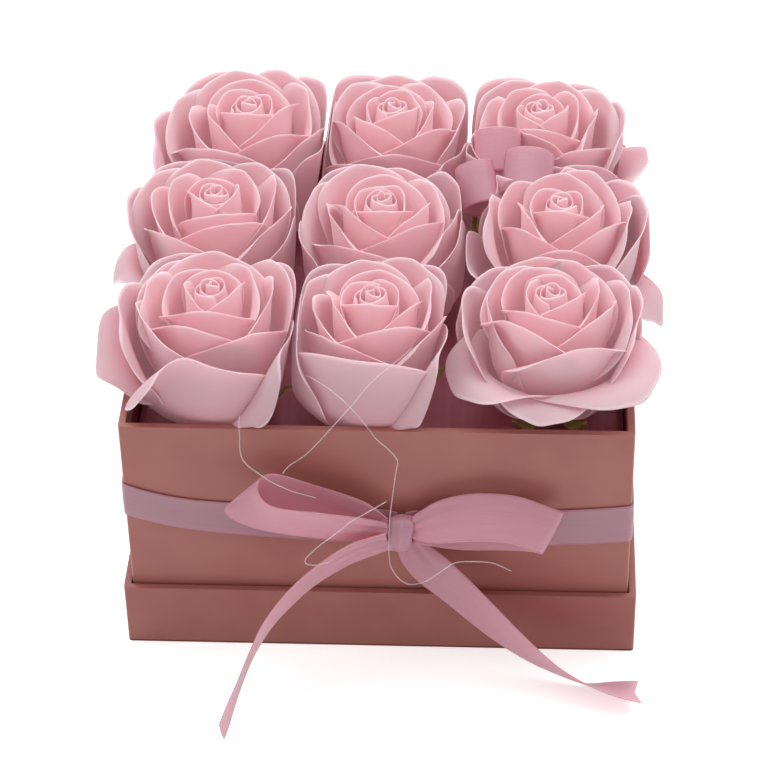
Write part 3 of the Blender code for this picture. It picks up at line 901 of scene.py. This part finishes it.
def greenPlasticMaterial():
    # injection moulded polyethylene leaf and pick: waxy green
    material, tree, shader = newMaterial("mouldedPolyethyleneGreen", Roughness=0.45, IOR=1.51, Subsurface_Weight=0.1)
    place = addNode(tree, "ShaderNodeTexCoord")
    cloud = addNoise(tree, place.outputs["Object"], 220.0, 2.0)
    tree.links.new(twoTones(tree, cloud, 0.35, 0.65, *calyx["greens"]), shader.inputs["Base Color"])
    addBump(tree, shader, cloud, 0.3, 0.1)
    return material


def sepalSheet(centre, turn, seed):
    length, half = calyx["length"], calyx["width"] / 2
    steps = 20

    def place(u, v):
        radius, height = calyx["root"]
        count = max(1, round(v * steps))
        for i in range(count):
            slope = math.radians(alongList(calyx["slopes"], v * i / count))
            radius += math.cos(slope) * length * v / count
            height += math.sin(slope) * length * v / count
        # narrow at the root, widest at a third, drawn out to a notched point
        if v < 0.36:
            share = 0.45 + 0.55 * math.sin(min(1, v / 0.36) * math.pi / 2)
        else:
            share = 1 - ((v - 0.36) / 0.64) ** 1.3 * 0.93
        notch = 1 + 0.22 * math.sin(v * 34 + seed) * smoothStep(0.3, 0.6, v)
        side = u * half * share * notch
        lean = math.radians(turn) + 0.25 * math.sin(seed) * v * v
        height += 0.9 * abs(u) ** 2 - 0.4 * smoothStep(0.8, 1, v)
        return insideWalls(Vector((
            centre[0] + radius * math.cos(lean) - side * math.sin(lean),
            centre[1] + radius * math.sin(lean) + side * math.cos(lean),
            headFloor + height,
        ))) * mm

    return place


def calyxCup(centre):
    # a small turned cup that holds the petals' roots
    outline = ((2.1, -4.0), (4.6, -3.4), (6.3, -1.6), (6.6, 0.2), (5.4, 1.6), (0.4, 1.2))

    def place(u, v):
        angle = (u + 1) * math.pi
        i = min(int(v * (len(outline) - 1)), len(outline) - 2)
        part = v * (len(outline) - 1) - i
        radius, height = (a + (b - a) * part for a, b in zip(outline[i], outline[i + 1]))
        around = Vector((radius * math.cos(angle), radius * math.sin(angle), headFloor + height))
        return (Vector((*centre, 0)) + around) * mm

    return place


def addCalyx(where, material):
    centre = roseCentres[where]
    first = calyx["turns"].get(where, 50 + 31 * roses[where]["seed"])
    sheets = []
    for i in range(calyx["sepals"]):
        turn = first + 360 / calyx["sepals"] * i
        sheets.append(sheetPiece("sepal", 4, 16, sepalSheet(centre, turn, roses[where]["seed"] + 2.3 * i)))
    sheets.append(sheetPiece("cup", 20, 6, calyxCup(centre)))
    leaves = joinPieces(f"calyx_leaves_{where}", sheets)
    thicken(leaves, calyx["thickness"] * mm)
    soften(leaves)
    settle(leaves, material, f"rose_{where}", f"calyx_{where}")
    dress(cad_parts[f"pick_{where}"], material)


greenPlastic = greenPlasticMaterial()
for where in roseCentres:
    addCalyx(where, greenPlastic)
dress(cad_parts["rosette_pick"], greenPlastic)
print("nine calyces made")


# satin ribbon: the band round the box, its bow, and the little bow among the blooms
ribbon = {
    "width": 16.0,  # mm
    "thickness": 0.35,
    "bandZ": 55.5,
    "boxFront": 85.0,
    "tones": ("#E696A7", "#DF8E9F"),
    "selvedge": "#F3DDE2",
    "gleam": 0.28,  # roughness
}
loopLeft = (
    ((4.0, 6.2, 3.0), (0.0, -0.1, 0.57)),
    ((-4.0, 7.0, 8.0), (0.0, -0.04, 0.9)),
    ((-22.0, 8.0, 14.3), (0.12, 0.06, 0.99)),
    ((-36.0, 10.3, 20.8), (0.44, 0.12, 0.89)),
    ((-43.5, 13.2, 22.5), (0.8, 0.25, 0.62)),
    ((-41.5, 16.6, 19.3), (0.5, -0.06, 0.86)),
    ((-33.0, 18.0, 15.3), (0.06, -0.28, 0.96)),
    ((-17.0, 17.0, 12.0), (0.0, -0.25, 0.94)),
    ((-6.0, 13.3, 7.5), (0.0, -0.15, 0.79)),
    ((4.0, 8.5, 2.5), (0.0, -0.07, 0.55)),
)
loopRight = (
    ((12.0, 7.6, 3.5), (0.0, 0.12, 0.57)),
    ((20.0, 9.5, 8.0), (0.04, 0.45, 0.79)),
    ((32.0, 11.0, 11.8), (0.0, 0.62, 0.78)),
    ((45.0, 11.6, 11.8), (0.12, 0.62, 0.78)),
    ((54.5, 12.0, 8.1), (0.3, 0.55, 0.78)),
    ((59.0, 10.2, 4.7), (0.44, 0.45, 0.78)),
    ((55.5, 7.6, 3.1), (0.38, 0.33, 0.86)),
    ((44.0, 6.2, 2.5), (0.12, 0.25, 0.95)),
    ((28.0, 5.6, 1.5), (0.0, 0.2, 0.95)),
    ((12.0, 5.0, 0.7), (0.0, 0.1, 0.65)),
)
tailLeft = (
    ((3.9, 11.2, 1.02), (-0.07, -0.25, 0.7)),
    ((-6.9, 14.5, 0.977), (-0.15, -0.46, 0.88)),
    ((-14.9, 17.0, 0.901), (-0.19, -0.53, 0.82)),
    ((-22.5, 20.2, 0.816), (-0.2, -0.6, 0.78)),
    ((-29.2, 24.0, 0.719), (-0.2, -0.65, 0.74)),
    ((-35.8, 28.5, 0.593), (-0.14, -0.7, 0.7)),
    ((-40.8, 33.5, 0.45), (-0.06, -0.74, 0.68)),
    ((-44.5, 39.5, 0.324), (-0.05, -0.75, 0.66)),
    ((-47.7, 46.0, 0.216), (-0.11, -0.75, 0.65)),
    ((-50.0, 52.2, 0.133), (-0.15, -0.74, 0.65)),
    ((-51.2, 56.4, 0.108), (-0.15, -0.74, 0.65)),
)
tailRight = (
    ((10.0, 4.6, 0.93), (0.45, 0.0, 0.3)),
    ((13.0, 6.0, 0.83), (0.66, 0.0, 0.42)),
    ((18.6, 8.5, 0.739), (0.65, -0.11, 0.75)),
    ((26.3, 11.7, 0.641), (0.57, -0.2, 0.8)),
    ((34.9, 15.0, 0.512), (0.49, -0.28, 0.82)),
    ((43.3, 18.2, 0.389), (0.42, -0.39, 0.81)),
    ((52.6, 21.2, 0.27), (0.26, -0.51, 0.81)),
    ((61.5, 23.8, 0.18), (0.15, -0.65, 0.75)),
    ((71.1, 26.2, 0.119), (0.06, -0.74, 0.68)),
    ((79.9, 26.8, 0.094), (0.01, -0.89, 0.45)),
    ((89.6, 26.4, 0.065), (0.05, -0.96, 0.26)),
)

def satinMaterial(name, light, dark, gleam):
    # polyester satin: long floats along the ribbon give a soft gleam, with a woven edge on both sides
    material, tree, shader = newMaterial(
        name,
        Roughness=gleam,
        IOR=1.5,
        Anisotropic=0.55,
        Sheen_Weight=0.06,
        Sheen_Roughness=0.35,
        Subsurface_Weight=0.6,
        Subsurface_Radius=(0.009, 0.004, 0.004),
        Subsurface_Scale=1.0,
    )
    place = addNode(tree, "ShaderNodeTexCoord")
    stretch = addNode(tree, "ShaderNodeMapping", None, {"Vector": place.outputs["UV"], "Scale": (90, 5, 1)})
    floats = addNoise(tree, stretch.outputs[0], 1.0, 3.0)
    away, _ = fromEdge(tree, place.outputs["UV"])
    selvedge = addNode(tree, "ShaderNodeMapRange", None, {0: away, 1: 0.455, 2: 0.47}).outputs[0]
    sockets = {0: selvedge, 6: twoTones(tree, floats, 0.3, 0.7, dark, light), 7: linear(ribbon["selvedge"])}
    edge = addNode(tree, "ShaderNodeMix", {"data_type": "RGBA", "blend_type": "MULTIPLY"}, sockets)
    tree.links.new(edge.outputs[2], shader.inputs["Base Color"])
    addBump(tree, shader, addMath(tree, "MULTIPLY_ADD", selvedge, -0.5, floats), 0.15, 0.08)
    tangent = addNode(tree, "ShaderNodeTangent", {"direction_type": "UV_MAP", "uv_map": "UVMap"})
    tree.links.new(tangent.outputs[0], shader.inputs["Tangent"])
    return material


def stationsInFront(stations, unit, start):
    return [
        (Vector((x, -ribbon["boxFront"] - ahead, start + height * unit)), Vector(half))
        for (x, ahead, height), half in stations
    ]


def ribbonSheet(stations, pleats=(0.0, 0.0), cut=None, crown=0.0):
    # middles and half widths run smoothly through the stations; pleats are mm deep at each end
    middles, halves = (smoothThrough(values, 10) for values in zip(*stations))
    runs = [0.0]
    for a, b in zip(middles, middles[1:]):
        runs.append(runs[-1] + (b - a).length)

    def at(values, run):
        i = 0
        while i < len(runs) - 2 and runs[i + 1] < run:
            i += 1
        part = (run - runs[i]) / max(1e-9, runs[i + 1] - runs[i])
        return values[i].lerp(values[i + 1], part)

    def place(u, v):
        end = 1 - (cut(u) if cut else 0) * smoothStep(0.6, 1, v)
        run = v * end * runs[-1]
        middle, half = at(middles, run), at(halves, run)
        ahead = at(middles, min(run + 0.5, runs[-1])) - at(middles, max(run - 0.5, 0))
        out = ahead.cross(half).normalized()
        half = half.normalized() * min(half.length, 1) * ribbon["width"] / 2
        gathered = pleats[0] * (1 - smoothStep(0, 0.3, v)) + pleats[1] * smoothStep(0.7, 1, v)
        fold = math.cos(u * 3.2 * math.pi) * gathered
        bow = crown * (1 - u * u)
        point = middle + half * u + out * (fold + bow)
        point.z = max(point.z, 0.5)
        return point * mm

    return place, runs[-1]


def addRibbon(name, node, body, stations, material, held, rests, steps, **shape):
    place, length = ribbonSheet(stations, **shape)
    piece = sheetPiece(name, 12, steps, place)
    thicken(piece, ribbon["thickness"] * mm)
    soften(piece)
    settle(piece, material, body, node)
    print(name, "ribbon length", round(length, 1))


def bandPlace():
    # once round the box from behind the knot, rounding each corner
    half, corner = ribbon["boxFront"] + 0.3, 1.6
    marks = []

    def add(x, y, z, nx, ny):
        marks.append((Vector((x, y, z)), Vector((nx, ny, 0))))

    front = ((8, 53.3), (30, 53.0), (62, 53.8), (80, 55.8))
    for x, z in front:
        add(x, -half, z, 0, -1)
    corners = (
        ((1, -1), -90, 56.4),
        ((1, 1), 0, 57.6),
        ((-1, 1), 90, 59.5),
        ((-1, -1), 180, 63.0),
    )
    for (sx, sy), start, z in corners:
        cx, cy = sx * (half - corner), sy * (half - corner)
        for k in range(5):
            angle = math.radians(start + 22.5 * k)
            add(cx + corner * math.cos(angle), cy + corner * math.sin(angle), z, math.cos(angle), math.sin(angle))
        if (sx, sy) == (-1, -1):
            break
        nextX, nextY = {(1, -1): (1, 1), (1, 1): (-1, 1), (-1, 1): (-1, -1)}[(sx, sy)]
        nextZ = {(1, -1): 57.6, (1, 1): 59.5, (-1, 1): 63.0}[(sx, sy)]
        nx, ny = math.cos(math.radians(start + 90)), math.sin(math.radians(start + 90))
        for k in range(1, 12):
            t = k / 12
            ax, ay = cx + corner * nx, cy + corner * ny
            bx = nextX * (half - corner) + corner * nx
            by = nextY * (half - corner) + corner * ny
            add(ax + (bx - ax) * t, ay + (by - ay) * t, z + (nextZ - z) * t, nx, ny)
    for x, z in ((-80, 61.3), (-71, 58.4), (-60, 56.6), (-51, 55.8), (-30, 54.4), (-10, 53.6), (8, 53.3)):
        add(x, -half, z, 0, -1)
    runs = [0.0]
    for (a, _), (b, _) in zip(marks, marks[1:]):
        runs.append(runs[-1] + (b - a).length)
    return marks, runs


def addBand(material):
    marks, runs = bandPlace()
    # one row of points per mark, so that the corners stay round
    def place(u, v):
        i = min(round(v * (len(marks) - 1)), len(marks) - 1)
        middle, normal = marks[i]
        narrow = 1 - 0.14 * math.exp(-(((middle.x + 70) / 40) ** 2)) * (middle.y < -80)
        puff = 0.25 + 0.5 * (1 - u * u) * abs(math.sin(runs[i] * 0.07)) * 0.5
        return (middle + Vector((0, 0, u * ribbon["width"] / 2 * narrow)) + normal * puff) * mm

    piece = sheetPiece("satin_band", 6, len(marks) - 1, place)
    thicken(piece, ribbon["thickness"] * mm)
    soften(piece)
    settle(piece, material, "box", "ribbon_band")
    print("satin_band ribbon length", round(runs[-1], 1))


knot = {"middle": (8.0, -91.0, 55.4), "depth": 5.2, "height": 7.0, "half": 4.1}


def addKnot(material):
    # the ribbon drawn tight over the crossing, gathered into pleats
    def place(u, v):
        angle = v * 2 * math.pi
        pinch = 1 - 0.6 * abs(u) ** 5
        wide = knot["half"] * (1 + 0.3 * math.sin(angle) ** 2)
        pleat = 0.34 * math.cos(u * 2.3 * math.pi + 0.5 * math.sin(angle)) * (1 - 0.5 * math.sin(angle) ** 2)
        y = -(knot["depth"] * pinch + pleat) * math.cos(angle)
        z = (knot["height"] * pinch + pleat) * math.sin(angle)
        x = u * wide + 0.9 * math.sin(angle)
        return (Vector(knot["middle"]) + Vector((x, y, z))) * mm

    piece = sheetPiece("satin_knot", 22, 36, place)
    bpy.ops.object.mode_set(mode="EDIT")
    bpy.ops.mesh.select_all(action="SELECT")
    bpy.ops.mesh.remove_doubles(threshold=0.00002)
    bpy.ops.mesh.normals_make_consistent(inside=False)
    bpy.ops.object.mode_set(mode="OBJECT")
    thicken(piece, 0.5 * mm, -1)
    soften(piece)
    settle(piece, material, "box", "bow_knot")


# the little bow's loops: each strip leaves the root, goes round its own middle and comes back, in mm
rosette = {
    "root": (38.0, 30.5, 112.0),
    "loops": {  # lean is the way the strip's width runs
        "left": {"middle": (31.6, 25.5, 115.0), "radius": 7.2, "lean": (-0.22, 0.8, 0.55)},
        "right": {"middle": (48.6, 28.5, 118.0), "radius": 9.0, "lean": (0.04, 0.84, 0.54)},
        "back": {"middle": (38.0, 39.0, 120.5), "radius": 8.2, "lean": (-0.05, 0.74, 0.67)},
    },
}


def rosetteStations(loop):
    lean = Vector(loop["lean"]).normalized()
    middle = Vector(loop["middle"])
    away = Vector(rosette["root"]) - middle
    away -= lean * away.dot(lean)
    away.normalize()
    side = lean.cross(away)
    stations = [(middle + away * loop["radius"] * 1.3 + side * 0.8, lean)]
    for k in range(9):
        angle = math.radians(38 + 284 * k / 8)
        stations.append((middle + (away * math.cos(angle) + side * math.sin(angle)) * loop["radius"], lean))
    stations.append((middle + away * loop["radius"] * 1.3 - side * 0.8, lean))
    return stations


def slantCut(u):
    return 0.075 * (1 + u) / 2


def notchCut(u):
    return 0.02 * (1 - abs(u))


def addRibbons():
    satin = satinMaterial("polyesterSatinRibbon", *ribbon["tones"], ribbon["gleam"])
    addBand(satin)
    addKnot(satin)
    for name, stations, unit, start, held, shape in (
        ("loop_left", loopLeft, 1, ribbon["bandZ"], "folded", {"pleats": (0.6, 0.6)}),
        ("loop_right", loopRight, 1, ribbon["bandZ"], "folded", {"pleats": (0.6, 0.5)}),
        ("tail_left", tailLeft, ribbon["bandZ"], 0, "hung", {"pleats": (0.5, 0), "cut": slantCut}),
        ("tail_right", tailRight, ribbon["bandZ"], 0, "hung", {"pleats": (0.4, 0), "cut": notchCut}),
    ):
        run = stationsInFront(stations, unit, start)
        addRibbon(f"satin_{name}", f"bow_{name}", "box", run, satin, held, ["bow_knot"], 60, crown=0.3, **shape)
    for name, loop in rosette["loops"].items():
        run = rosetteStations(loop)
        node = f"rosette_loop_{name}"
        addRibbon(f"rosette_satin_{name}", node, "rosette", run, satin, "folded", ["rosette_pick"], 40)
    print("ribbons made")


addRibbons()


# satin-faced insert sheet, with soft wrinkles between the blooms
insertSheet = {"half": 81.8, "top": 76.4, "wrinkle": 0.8, "tones": ("#FF889B", "#F87C90"), "gleam": 0.36}


def addInsert():
    satin = satinMaterial("acetateSatinInsert", *insertSheet["tones"], insertSheet["gleam"])

    def place(u, v):
        x, y = u * insertSheet["half"], (v * 2 - 1) * insertSheet["half"]
        wave = noise.noise(Vector((x * 0.035, y * 0.05, 3.0))) + 0.5 * noise.noise(Vector((x * 0.09, y * 0.12, 8.0)))
        edge = smoothStep(1.0, 0.94, max(abs(u), abs(v * 2 - 1)))
        lift = insertSheet["wrinkle"] * (0.5 + wave) * (0.3 + 0.7 * edge)
        return Vector((x, y, insertSheet["top"] + lift)) * mm

    piece = sheetPiece("satin_insert", 72, 72, place)
    thicken(piece, 0.3 * mm, -1)
    settle(piece, satin, "insert", "insert_cover")


addInsert()
print("insert laid")
